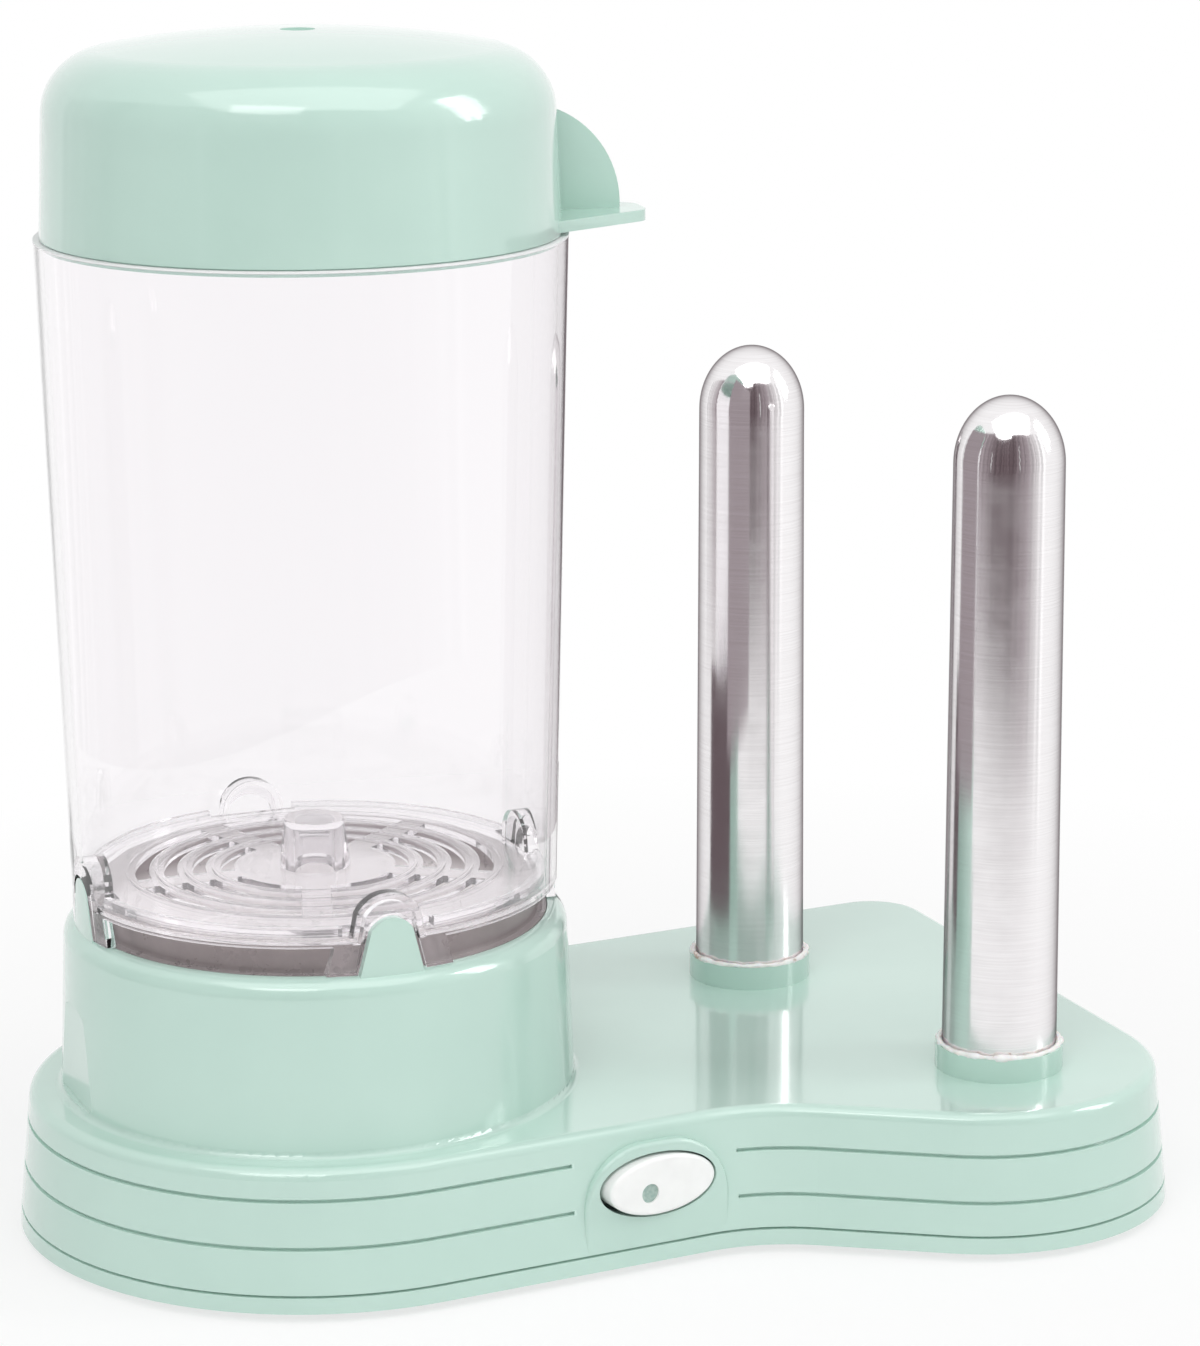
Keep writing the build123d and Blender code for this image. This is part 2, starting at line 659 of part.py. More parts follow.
def switch_body():
    back = SWITCH_FACE.offset(-PAD_WALL)
    block = extrude(back * Rectangle(ROCKER_W + 6, ROCKER_H + 0.8 + 2 * SWITCH_WALL), -SWITCH_DEPTH)
    well = extrude(back * Rectangle(ROCKER_W + 2, ROCKER_H + 0.8), -ROCKER_DEPTH - 1.5)
    return block - well - switch_pin()


def switch_pin():
    half = ROCKER_H / 2 + 0.4 + SWITCH_WALL
    return Pos(PIVOT.X, PIVOT.Y, 0) * rod(PIN_R, PIVOT.Z - half, PIVOT.Z + half)


def switch_terminals():
    back = SWITCH_FACE.offset(-PAD_WALL - SWITCH_DEPTH)
    return Compound([extrude(back * Pos(x, 0) * Rectangle(0.8, 4.8), -7) for x in (-7, 7)])


def rocker_face():
    """Plane of the rocker's outer face before it is tilted."""
    return SWITCH_FACE.offset(ROCKER_PROUD)


def lens_at(recess):
    return rocker_face().offset(-recess) * Pos(-LENS_SIDE, -LENS_DROP)


def switch_rocker():
    cap = extrude(rocker_face() * Ellipse(ROCKER_W / 2, ROCKER_H / 2), -ROCKER_PROUD - ROCKER_DEPTH)
    front = cap.faces().sort_by(Axis(SWITCH_FACE.origin, SWITCH_FACE.z_dir))[-1]
    cap = fillet(front.edges(), 0.9)
    cap -= extrude(lens_at(0) * Circle(LENS_R), -LENS_RECESS - LENS_T)
    bore = Pos(PIVOT.X, PIVOT.Y, 0) * rod(PIN_R + PIN_FIT, PIVOT.Z - ROCKER_H, PIVOT.Z + ROCKER_H)
    return ROCKED * (cap - bore)


def pilot_lens():
    return ROCKED * extrude(lens_at(LENS_RECESS) * Circle(LENS_R), -LENS_T)


def cord_gland():
    depth = WALL + 3
    flange = rod(GLAND_R + GLAND_FLANGE, 0, GLAND_PROUD)
    flange = fillet(flange.edges().sort_by(Axis.Z)[-1:], 1)
    bush = flange + rod(GLAND_R, -depth, 0) + rod(GLAND_R + 0.9, -depth - 2, -depth)
    return GLAND_FACE.location * (bush - rod(INLET_R, -depth - 2, GLAND_PROUD))


def terminal_block():
    block = Box(BLOCK_L, BLOCK_W, BLOCK_H, align=(Align.CENTER, Align.CENTER, Align.MIN))
    for x in (-BLOCK_STEP, 0, BLOCK_STEP):
        block -= Pos(x, 0, 0) * rod(BLOCK_HOLE_R, BLOCK_H - BLOCK_HOLE_D, BLOCK_H)
    return Pos(BLOCK_X, BLOCK_Y, PLATE_Z) * block


def clear_inner(z):
    rise = (z - SHOULDER_Z - SKIRT_LIFT) / (CONTAINER_H - SKIRT_LIFT)
    return TAB_IN + (MOUTH_R - SKIRT_R) * rise


def steam_container():
    low = SHOULDER_Z + SKIRT_LIFT
    shelf = TAB_IN - LEDGE_W
    body = spin(
        path(
            (TAB_IN, low),
            (SKIRT_R, low),
            (MOUTH_R, MOUTH_Z),
            (MOUTH_R - CLEAR_T, MOUTH_Z),
            (clear_inner(LEDGE_TOP), LEDGE_TOP),
            (shelf, LEDGE_TOP),
            (shelf, LEDGE_Z),
            (clear_inner(LEDGE_Z), LEDGE_Z),
            (TAB_IN, low),
        )
    )
    wide = TAB_W + 2 * TAB_GAP
    crown = TAB_TOP_W + 2 * TAB_GAP
    reach = wide / 2 + FOOT_W
    inmost = sqrt(TAB_IN**2 - reach**2) - 1
    for angle in QUARTERS:
        plane = radial(angle, TAB_IN - HOOD_DEPTH, SHOULDER_Z)
        outline = arch(wide + 2 * HOOD_T, crown + 2 * HOOD_T, TAB_H + HOOD_RISE + HOOD_T)
        hood = extrude(plane * outline, HOOD_DEPTH + 1)
        body += hood - rod(SKIRT_R + CLEAR_T, SHOULDER_Z - 1, low)
        foot = radial(angle, inmost, SHOULDER_Z) * Trapezoid(
            2 * reach, SKIRT_LIFT + 1, 75, align=(Align.CENTER, Align.MIN)
        )
        body += extrude(foot, SKIRT_R + 1 - inmost) & tube(SKIRT_R, TAB_IN, SHOULDER_Z + SEAT_GAP, low + 1)
    for angle in QUARTERS:
        inside = radial(angle, TAB_IN - HOOD_DEPTH + HOOD_T, SHOULDER_Z - 1)
        pocket = extrude(inside * arch(wide, crown, TAB_H + HOOD_RISE + 1), HOOD_DEPTH - HOOD_T)
        notch = extrude(inside * arch(wide, crown, TAB_H + TAB_GAP + 1), HOOD_DEPTH + 4)
        body -= pocket + notch
    return body


def sausage_tray():
    rim = TAB_IN - TRAY_GAP
    top = TRAY_Z + TRAY_T
    tray = rod(rim, TRAY_Z, top) + tube(rim, rim - 1.2, top, top + RIB)
    for k in range(SLOT_RINGS):
        middle = SLOT_FIRST + SLOT_STEP * k
        ring = tube(middle + SLOT_W / 2, middle - SLOT_W / 2, TRAY_Z, top)
        for n in range(5):
            spoke = Pos(middle, 0, TRAY_Z) * Box(2 * SLOT_W, SPOKE_W, 3 * TRAY_T)
            ring -= Rotation(0, 0, 72 * n + SPOKE_TURN) * spoke
        tray -= ring
        edge = middle + SLOT_STEP / 2
        tray += tube(edge + RIB / 2, edge - RIB / 2, top, top + RIB)
    hub = Pos(0, 0, top) * Cone(HUB_R, HUB_R - 1.2, HUB_H, align=(Align.CENTER, Align.CENTER, Align.MIN))
    tray += hub
    tray -= Pos(0, 0, TRAY_Z) * rod(HUB_R - 3.2, 0, TRAY_T + HUB_H - 2)
    reach = TAB_IN - HOOD_DEPTH - TRAY_GAP
    for angle in QUARTERS:
        wide = TAB_W + 2 * (TAB_GAP + HOOD_T + TRAY_GAP)
        cut = radial(angle, reach, TRAY_Z) * Rectangle(wide, 4 * (TRAY_T + RIB))
        tray -= extrude(cut, HOOD_DEPTH + 4)
    return tray


def lid_profile(cut):
    """Edges of the lid's dome, moved inwards by cut: a leaning side, a round shoulder, a crown that runs on from it."""
    bend = LID_ROUND - cut
    centre = LID_R - LID_TAPER - LID_ROUND
    spring = LID_Z + LID_H - LID_DOME - LID_ROUND
    lean = 2 * atan2(LID_DOME, centre)
    reach = centre / sin(lean) + bend
    hip = spring - centre * cos(lean) / sin(lean)
    half = radians(45) - lean / 2
    join = (centre + bend * sin(lean), 0, spring + bend * cos(lean))
    return [
        path((0, LID_Z), (LID_R - cut, LID_Z), (centre + bend, spring)),
        ThreePointArc((centre + bend, 0, spring), (centre + bend * cos(half), 0, spring + bend * sin(half)), join),
        ThreePointArc(join, (reach * sin(lean / 2), 0, hip + reach * cos(lean / 2)), (0, 0, hip + reach)),
        path((0, hip + reach), (0, LID_Z)),
    ]


def lid():
    inside = spin(*lid_profile(LID_T))
    turn = Rotation(0, 0, HANDLE_TURN)
    tip = LID_R + SHELF_REACH
    shelf = make_face(
        Polyline(
            (LID_R - 14, -SHELF_W / 2),
            (LID_R - 4, -SHELF_W / 2),
            (tip, -SHELF_TIP_W / 2),
            (tip, SHELF_TIP_W / 2),
            (LID_R - 4, SHELF_W / 2),
            (LID_R - 14, SHELF_W / 2),
            close=True,
        )
    )
    shelf = fillet([v for v in shelf.vertices() if v.X > tip - 1], 4.5)
    handle = extrude(Pos(0, 0, LID_Z + 0.6) * shelf, SHELF_T)
    base = LID_Z + 0.6 + SHELF_T
    heel = LID_R - 6
    toe = LID_R + FIN_REACH
    bow = (heel + (toe - heel) * 0.72, base + FIN_H * 0.72)
    fin = make_face(
        [
            *path((heel, base + FIN_H), (heel, base - 1), (toe, base - 1), (toe, base)).edges(),
            ThreePointArc((toe, 0, base), (bow[0], 0, bow[1]), (heel + 5, 0, base + FIN_H)),
            Line((heel + 5, 0, base + FIN_H), (heel, 0, base + FIN_H)),
        ]
    )
    handle += extrude(fin, FIN_T / 2, both=True)
    body = spin(*lid_profile(0)) + turn * handle - inside
    plug = MOUTH_R - CLEAR_T - PLUG_GAP
    body += tube(plug, plug - LID_T, LID_Z - PLUG_H, LID_Z + 3)
    peak = LID_Z + LID_H
    body -= rod(VENT_R, peak - VENT_DEPTH, peak + 1)
    return body - rod(VENT_R - 2, peak - LID_T - 1, peak)


NODES = {
    "base_housing": base_housing(),
    "tower_drum": tower_drum(),
    "bottom_plate": bottom_plate(),
    "rubber_feet": rubber_feet(),
    "base_screws": base_screws(),
    "heating_pan": heating_pan(),
    "pan_seal": pan_seal(),
    "heating_element": element_ring(),
    "element_terminals": element_terminals(),
    "thermostat": thermostat(),
    "thermal_fuse": thermal_fuse(),
    "pan_bracket": pan_bracket(),
    "pan_nuts": pan_nuts(),
    "rear_spike": bun_spike(REAR_SPIKE),
    "front_spike": bun_spike(FRONT_SPIKE),
    "rear_sleeve": spike_sleeve(REAR_SPIKE),
    "front_sleeve": spike_sleeve(FRONT_SPIKE),
    "rear_heater": spike_heater(REAR_SPIKE),
    "front_heater": spike_heater(FRONT_SPIKE),
    "rear_clamp": spike_clamp(REAR_SPIKE),
    "front_clamp": spike_clamp(FRONT_SPIKE),
    "clamp_screws": clamp_screws(),
    "switch_body": switch_body(),
    "switch_pin": switch_pin(),
    "switch_terminals": switch_terminals(),
    "switch_rocker": switch_rocker(),
    "pilot_lens": pilot_lens(),
    "cord_gland": cord_gland(),
    "terminal_block": terminal_block(),
    "steam_container": steam_container(),
    "sausage_tray": sausage_tray(),
    "lid": lid(),
}

os.makedirs("parts", exist_ok=True)
for name, shape in NODES.items():
    export_step(PLACE * shape, f"parts/{name}.step")
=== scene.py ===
"""Hot dog steamer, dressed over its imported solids: mint housing, clear steam tower, two steel bun spikes."""
from math import cos, radians, sin

import bpy
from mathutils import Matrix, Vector


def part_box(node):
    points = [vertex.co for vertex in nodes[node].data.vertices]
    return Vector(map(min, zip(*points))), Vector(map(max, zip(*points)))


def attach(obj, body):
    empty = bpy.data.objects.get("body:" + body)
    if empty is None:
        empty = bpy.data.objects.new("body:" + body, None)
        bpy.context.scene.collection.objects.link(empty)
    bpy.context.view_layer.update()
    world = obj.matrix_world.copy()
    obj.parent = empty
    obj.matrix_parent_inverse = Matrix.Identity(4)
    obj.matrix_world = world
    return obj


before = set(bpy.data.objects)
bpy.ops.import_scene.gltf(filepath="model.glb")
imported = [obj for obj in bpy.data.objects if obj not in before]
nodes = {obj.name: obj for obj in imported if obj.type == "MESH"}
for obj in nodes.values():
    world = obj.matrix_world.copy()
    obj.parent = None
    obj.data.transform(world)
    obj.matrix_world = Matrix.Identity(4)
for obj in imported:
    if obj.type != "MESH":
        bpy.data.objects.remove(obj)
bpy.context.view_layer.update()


# Base housing, drum, floor plate and lid. Injection mouldings in mint ABS, screwed together from below.
# The skin is a soft gloss with a faint flow ripple. The cut lines round the skirt are painted a paler mint,
# a painted light that lifts the shade which darkens them.
def linear(hex_colour):
    """An sRGB hex colour as linear RGBA."""
    parts = [int(hex_colour[i:i + 2], 16) / 255 for i in (1, 3, 5)]
    return [p / 12.92 if p <= 0.04045 else ((p + 0.055) / 1.055) ** 2.4 for p in parts] + [1.0]


def add(tree, kind, inputs=None, stops=None, **settings):
    """Adds a node, sets its properties and colour stops, and fills or links its inputs."""
    node = tree.nodes.new(kind)
    for name, value in settings.items():
        setattr(node, name, value)
    for name, value in (inputs or {}).items():
        socket = next(s for s in node.inputs if name in (s.identifier, s.name))
        if isinstance(value, bpy.types.NodeSocket):
            tree.links.new(value, socket)
        else:
            socket.default_value = value
    for index, (position, value) in enumerate(stops or ()):
        ramp = node.color_ramp.elements
        stop = ramp[index] if index < 2 else ramp.new(position)
        stop.position = position
        stop.color = linear(value) if isinstance(value, str) else (value, value, value, 1)
    return node


def worked(tree, operation, *values):
    """Socket with the result of one sum on numbers or sockets."""
    inputs = dict(zip(("Value", "Value_001", "Value_002"), values))
    return add(tree, "ShaderNodeMath", inputs, operation=operation).outputs[0]


def start_finish(name, constants):
    """A new material: its Principled shader with constant sockets set, and the piece's own position in mm."""
    made = bpy.data.materials.new(name)
    made.use_nodes = True
    tree = made.node_tree
    tree.nodes.clear()
    shader = add(tree, "ShaderNodeBsdfPrincipled", constants)
    add(tree, "ShaderNodeOutputMaterial", {"Surface": shader.outputs["BSDF"]})
    place = add(tree, "ShaderNodeTexCoord")
    mm = add(tree, "ShaderNodeMapping", {"Vector": place.outputs["Object"], "Scale": (1000, 1000, 1000)})
    return made, tree, shader, mm.outputs["Vector"]


def dress(finish, *names):
    """Gives a finish to CAD nodes as they are."""
    for name in names:
        nodes[name].material_slots[0].material = finish


# Moulded ABS: an even pastel that drifts a shade between thick and thin walls, and a slightly rippled gloss
GROOVE_LOW_Z = 15.6
GROOVE_STEP = 10.0
GROOVE_HALF = 0.52
WING_GROOVE_DROP = 2.6
SEAM_MID_Z = 5.6
SEAM_HALF = 0.36
SWITCH_BREAK = 19.0
# The paler mint painted into the cut lines is painted light, lifting their shade.
CUT_LIFT_MINT = "#cfe9df"
mint_abs, tree, shader, mm = start_finish(
    "moulded_mint_abs", {"IOR": 1.54, "Coat Weight": 0.6, "Coat Roughness": 0.09},
)
drift = add(tree, "ShaderNodeTexNoise", {"Vector": mm, "Scale": 1 / 38, "Detail": 2.0})
tone = add(
    tree, "ShaderNodeValToRGB", {"Fac": drift.outputs["Fac"]}, stops=((0.3, "#bfdcd1"), (0.7, "#c5e1d6")),
)
smear = add(tree, "ShaderNodeTexNoise", {"Vector": mm, "Scale": 1 / 9, "Detail": 4.0})
gloss = add(
    tree, "ShaderNodeValToRGB", {"Fac": smear.outputs["Fac"]}, stops=((0.35, 0.10), (0.75, 0.15)),
)
ripple = add(tree, "ShaderNodeTexNoise", {"Vector": mm, "Scale": 1 / 9, "Detail": 1.0})
skin = add(
    tree, "ShaderNodeBump", {"Height": ripple.outputs["Fac"], "Distance": 0.00002, "Strength": 1.0},
)
tree.links.new(gloss.outputs["Color"], shader.inputs["Roughness"])
tree.links.new(skin.outputs["Normal"], shader.inputs["Normal"])

switch_low, switch_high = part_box("switch_rocker")
switch_x = (switch_low[0] + switch_high[0]) * 500
axes = add(tree, "ShaderNodeSeparateXYZ", {"Vector": mm})
tower_run = worked(tree, "LESS_THAN", axes.outputs["X"], switch_x - SWITCH_BREAK)
wing_run = worked(tree, "GREATER_THAN", axes.outputs["X"], switch_x + SWITCH_BREAK)
either_run = worked(tree, "ADD", tower_run, wing_run)
lifted = worked(tree, "MULTIPLY_ADD", wing_run, WING_GROOVE_DROP, axes.outputs["Z"])
above = worked(tree, "SUBTRACT", lifted, GROOVE_LOW_Z)
nearest = worked(tree, "PINGPONG", above, GROOVE_STEP / 2)
in_line = worked(tree, "LESS_THAN", nearest, GROOVE_HALF)
on_skirt = worked(tree, "COMPARE", above, GROOVE_STEP / 2, GROOVE_STEP)
in_groove = worked(tree, "MULTIPLY", worked(tree, "MULTIPLY", in_line, on_skirt), either_run)
in_seam = worked(tree, "COMPARE", axes.outputs["Z"], SEAM_MID_Z, SEAM_HALF)
in_cut = worked(tree, "MAXIMUM", in_groove, in_seam)
# Painted light: the cut lines and seam are painted paler than the skin, against their own shade.
cut_lift = add(
    tree, "ShaderNodeMix",
    {"Factor_Float": in_cut, "A_Color": tone.outputs["Color"], "B_Color": linear(CUT_LIFT_MINT)}, data_type="RGBA",
)
tree.links.new(cut_lift.outputs[2], shader.inputs["Base Color"])
dress(mint_abs, "base_housing", "tower_drum", "bottom_plate", "lid")


# Feet, gland and fixings. Four pressed rubber pads, a rubber gland, and zinc-plated screws and clamps.
# Rubber is matt with a dusty bloom, zinc is a pale blue-grey with cloudy plating.
rubber, tree, shader, mm = start_finish("moulded_black_rubber", {"IOR": 1.52})
bloom = add(tree, "ShaderNodeTexNoise", {"Vector": mm, "Scale": 1 / 3, "Detail": 5.0})
tone = add(
    tree, "ShaderNodeValToRGB", {"Fac": bloom.outputs["Fac"]}, stops=((0.3, "#1d1d1e"), (0.75, "#343334")),
)
grit = add(tree, "ShaderNodeTexNoise", {"Vector": mm, "Scale": 2.5, "Detail": 2.0})
skin = add(tree, "ShaderNodeBump", {"Height": grit.outputs["Fac"], "Distance": 0.00006})
worn = add(tree, "ShaderNodeValToRGB", {"Fac": bloom.outputs["Fac"]}, stops=((0.3, 0.62), (0.7, 0.8)))
tree.links.new(tone.outputs["Color"], shader.inputs["Base Color"])
tree.links.new(worn.outputs["Color"], shader.inputs["Roughness"])
tree.links.new(skin.outputs["Normal"], shader.inputs["Normal"])
dress(rubber, "rubber_feet", "cord_gland")

zinc, tree, shader, mm = start_finish("zinc_plated_steel", {"Metallic": 1.0})
cloud = add(tree, "ShaderNodeTexNoise", {"Vector": mm, "Scale": 1 / 2.5, "Detail": 4.0})
tone = add(
    tree, "ShaderNodeValToRGB", {"Fac": cloud.outputs["Fac"]}, stops=((0.3, "#b3b7bb"), (0.7, "#cfd2d4")),
)
dull = add(tree, "ShaderNodeValToRGB", {"Fac": cloud.outputs["Fac"]}, stops=((0.3, 0.28), (0.7, 0.42)))
tree.links.new(tone.outputs["Color"], shader.inputs["Base Color"])
tree.links.new(dull.outputs["Color"], shader.inputs["Roughness"])
dress(zinc, "base_screws", "clamp_screws", "rear_clamp", "front_clamp")
dress(zinc, "pan_bracket", "pan_nuts", "switch_pin")


# Water pan. A deep-drawn steel dish with the tubular element clamped under it and a silicone ring at its lip.
# The punch leaves rings about the axis. The floor is pale with lime, which hides most of the metal, and the
# lip band is painted dark grey, painted shade and dark reflection for the ring seen through the container's
# skirt.
LIP_FROM_Z = 66.0
LIP_TO_Z = 70.5
pan_low, pan_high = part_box("heating_pan")
pan_axis = [(a + b) / 2 * 1000 for a, b in zip(pan_low[:2], pan_high[:2])]
pan_steel, tree, shader, mm = start_finish("deep_drawn_pan_steel", {"Metallic": 0.3})
off_axis = add(tree, "ShaderNodeMapping", {"Vector": mm, "Location": (-pan_axis[0], -pan_axis[1], 0)})
rings = add(
    tree, "ShaderNodeTexWave",
    {"Vector": off_axis.outputs["Vector"], "Scale": 0.35, "Distortion": 1.5, "Detail": 3.0},
    wave_type="RINGS", rings_direction="Z",
)
lime = add(
    tree, "ShaderNodeTexNoise", {"Vector": mm, "Scale": 1 / 7, "Detail": 6.0, "Roughness": 0.65},
)
limed = add(
    tree, "ShaderNodeValToRGB", {"Fac": lime.outputs["Fac"]}, stops=((0.35, "#f3f1f0"), (0.7, "#fbfaf9")),
)
# Painted shade: the lip band is darkened to a grey-brown.
lip_shade = add(
    tree, "ShaderNodeValToRGB", {"Fac": lime.outputs["Fac"]}, stops=((0.3, "#8b8182"), (0.75, "#9b9192")),
)
axes = add(tree, "ShaderNodeSeparateXYZ", {"Vector": mm})
at_lip = add(
    tree, "ShaderNodeMapRange", {"Value": axes.outputs["Z"], "From Min": LIP_FROM_Z, "From Max": LIP_TO_Z},
)
tone = add(
    tree, "ShaderNodeMix",
    {"Factor_Float": at_lip.outputs["Result"], "A_Color": limed.outputs["Color"],
     "B_Color": lip_shade.outputs["Color"]},
    data_type="RGBA",
)
dull = add(tree, "ShaderNodeValToRGB", {"Fac": lime.outputs["Fac"]}, stops=((0.35, 0.24), (0.7, 0.42)))
turned = add(tree, "ShaderNodeBump", {"Height": rings.outputs["Fac"], "Distance": 0.00002})
tree.links.new(tone.outputs[2], shader.inputs["Base Color"])
tree.links.new(dull.outputs["Color"], shader.inputs["Roughness"])
tree.links.new(turned.outputs["Normal"], shader.inputs["Normal"])
dress(pan_steel, "heating_pan", "heating_element")

silicone, tree, shader, mm = start_finish(
    "cured_white_silicone", {"IOR": 1.41, "Subsurface Weight": 0.15, "Subsurface Scale": 0.001},
)
blot = add(tree, "ShaderNodeTexNoise", {"Vector": mm, "Scale": 1 / 2.2, "Detail": 5.0})
tone = add(
    tree, "ShaderNodeValToRGB", {"Fac": blot.outputs["Fac"]},
    stops=((0.28, "#b79c8c"), (0.40, "#eeebe8"), (0.7, "#fafaf9")),
)
dull = add(tree, "ShaderNodeValToRGB", {"Fac": blot.outputs["Fac"]}, stops=((0.3, 0.36), (0.7, 0.55)))
tree.links.new(tone.outputs["Color"], shader.inputs["Base Color"])
tree.links.new(dull.outputs["Color"], shader.inputs["Roughness"])
dress(silicone, "pan_seal", "rear_sleeve", "front_sleeve")


# Wiring parts: brass tags, fired ceramic heater cores, a black phenolic thermostat and a nylon switch body.
# All but the top of the switch body is hidden, so their finishes are plain ones, with grain and tarnish.
def plain_finish(name, pale, dark, grain_mm, roughness, metallic):
    """A cast or stamped finish whose tone wanders between two colours over grain_mm."""
    made, tree, shader, mm = start_finish(name, {"Metallic": metallic})
    grain = add(tree, "ShaderNodeTexNoise", {"Vector": mm, "Scale": 1 / grain_mm, "Detail": 4.0})
    tone = add(tree, "ShaderNodeValToRGB", {"Fac": grain.outputs["Fac"]}, stops=((0.3, dark), (0.7, pale)))
    dull = add(
        tree, "ShaderNodeValToRGB", {"Fac": grain.outputs["Fac"]},
        stops=((0.3, roughness), (0.7, roughness + 0.12)),
    )
    rough = add(tree, "ShaderNodeBump", {"Height": grain.outputs["Fac"], "Distance": 0.00002})
    tree.links.new(tone.outputs["Color"], shader.inputs["Base Color"])
    tree.links.new(dull.outputs["Color"], shader.inputs["Roughness"])
    tree.links.new(rough.outputs["Normal"], shader.inputs["Normal"])
    return made


brass = plain_finish("stamped_brass", "#c9a95f", "#a88a48", grain_mm=1.5, roughness=0.28, metallic=1.0)
ceramic = plain_finish("fired_ceramic", "#e6ddcc", "#d2c6b0", grain_mm=0.8, roughness=0.7, metallic=0.0)
phenolic = plain_finish("black_phenolic", "#2b2a2a", "#191919", grain_mm=1.0, roughness=0.42, metallic=0.0)
nylon = plain_finish("grey_green_nylon", "#d3e4dc", "#c3d6cd", grain_mm=1.0, roughness=0.5, metallic=0.0)
dress(brass, "element_terminals", "switch_terminals")
dress(ceramic, "rear_heater", "front_heater", "thermal_fuse")
dress(phenolic, "thermostat")
dress(nylon, "switch_body")


# Bun spikes. Deep-drawn stainless tubes with domed ends, belt-ground all round and buffed at the dome.
# The belt leaves fine hoops that smear reflections upright, drawn a few times too coarse so that they show.
# A grey tint at grazing angles, a painted darker reflection, draws the outlines.
GRAZING_SHADE_TINT = "#8a8486"
DOME_FROM_Z = 162.0
DOME_TO_Z = 167.0
stainless, tree, shader, mm = start_finish(
    "belt_ground_stainless",
    {"Metallic": 1.0, "Anisotropic": 0.7, "Anisotropic Rotation": 0.25, "Specular Tint": linear(GRAZING_SHADE_TINT)},
)
hoops_at = add(tree, "ShaderNodeMapping", {"Vector": mm, "Scale": (0.05, 0.05, 4.0)})
hoops = add(tree, "ShaderNodeTexNoise", {"Vector": hoops_at.outputs["Vector"], "Scale": 1.0, "Detail": 3.0})
stain = add(tree, "ShaderNodeTexNoise", {"Vector": mm, "Scale": 1 / 6, "Detail": 5.0})
tone = add(
    tree, "ShaderNodeValToRGB", {"Fac": hoops.outputs["Fac"]}, stops=((0.25, "#eeebec"), (0.75, "#f9f7f8")),
)
axes = add(tree, "ShaderNodeSeparateXYZ", {"Vector": mm})
at_dome = add(
    tree, "ShaderNodeMapRange", {"Value": axes.outputs["Z"], "From Min": DOME_FROM_Z, "From Max": DOME_TO_Z},
)
dull = add(tree, "ShaderNodeValToRGB", {"Fac": stain.outputs["Fac"]}, stops=((0.3, 0.15), (0.75, 0.21)))
buffed = add(
    tree, "ShaderNodeMix",
    {"Factor_Float": at_dome.outputs["Result"], "A_Float": dull.outputs["Color"], "B_Float": 0.09},
    data_type="FLOAT",
)
grip = add(
    tree, "ShaderNodeMapRange", {"Value": at_dome.outputs["Result"], "To Min": 1.0, "To Max": 0.1},
)
ground = add(
    tree, "ShaderNodeBump",
    {"Height": hoops.outputs["Fac"], "Distance": 0.0000015, "Strength": grip.outputs["Result"]},
)
tree.links.new(tone.outputs["Color"], shader.inputs["Base Color"])
tree.links.new(buffed.outputs[0], shader.inputs["Roughness"])
tree.links.new(ground.outputs["Normal"], shader.inputs["Normal"])
dress(stainless, "rear_spike", "front_spike")


# Sealing beads. White silicone run by hand round the foot of each spike, where it leaves its collar.
# The bead is thin and ragged, with lumps where the nozzle stopped, and it has browned a little in places.
BEAD_R = 0.01325
BEAD_THICK = 0.00062
BEAD_RAGGED = 0.00085
BEAD_LUMP_M = 0.0035
BEAD_SINK = 0.0001
BEAD_STEPS = 220
BEAD_SIDES = 10
bead_tree = bpy.data.node_groups.new("silicone_bead", "GeometryNodeTree")
bead_tree.interface.new_socket("Geometry", in_out="INPUT", socket_type="NodeSocketGeometry")
bead_inputs = {}
for label, kind, value in (
    ("Ring Radius", "NodeSocketFloat", BEAD_R),
    ("Bead Radius", "NodeSocketFloat", BEAD_THICK),
    ("Raggedness", "NodeSocketFloat", BEAD_RAGGED),
    ("Lump Size", "NodeSocketFloat", BEAD_LUMP_M),
    ("Material", "NodeSocketMaterial", silicone),
):
    socket = bead_tree.interface.new_socket(label, in_out="INPUT", socket_type=kind)
    bead_inputs[socket.identifier] = value
bead_tree.interface.new_socket("Geometry", in_out="OUTPUT", socket_type="NodeSocketGeometry")
given = add(bead_tree, "NodeGroupInput")
ring = add(
    bead_tree, "GeometryNodeCurvePrimitiveCircle",
    {"Resolution": BEAD_STEPS, "Radius": given.outputs["Ring Radius"]},
)
section = add(
    bead_tree, "GeometryNodeCurvePrimitiveCircle",
    {"Resolution": BEAD_SIDES, "Radius": given.outputs["Bead Radius"]},
)
rope = add(
    bead_tree, "GeometryNodeCurveToMesh",
    {"Curve": ring.outputs["Curve"], "Profile Curve": section.outputs["Curve"]},
)
placed = add(
    bead_tree, "GeometryNodeInstanceOnPoints",
    {"Points": given.outputs["Geometry"], "Instance": rope.outputs["Mesh"]},
)
solid = add(bead_tree, "GeometryNodeRealizeInstances", {"Geometry": placed.outputs["Instances"]})
where = add(bead_tree, "GeometryNodeInputPosition")
pitch = worked(bead_tree, "DIVIDE", 1.0, given.outputs["Lump Size"])
lumps = add(
    bead_tree, "ShaderNodeTexNoise", {"Vector": where.outputs["Position"], "Scale": pitch, "Detail": 3.0},
)
swing = worked(bead_tree, "SUBTRACT", lumps.outputs["Fac"], 0.5)
swing = worked(bead_tree, "MULTIPLY", swing, given.outputs["Raggedness"])
swing = worked(bead_tree, "MULTIPLY", swing, 2.0)
outwards = add(bead_tree, "GeometryNodeInputNormal")
push = add(
    bead_tree, "ShaderNodeVectorMath", {"Vector": outwards.outputs["Normal"], "Scale": swing},
    operation="SCALE",
)
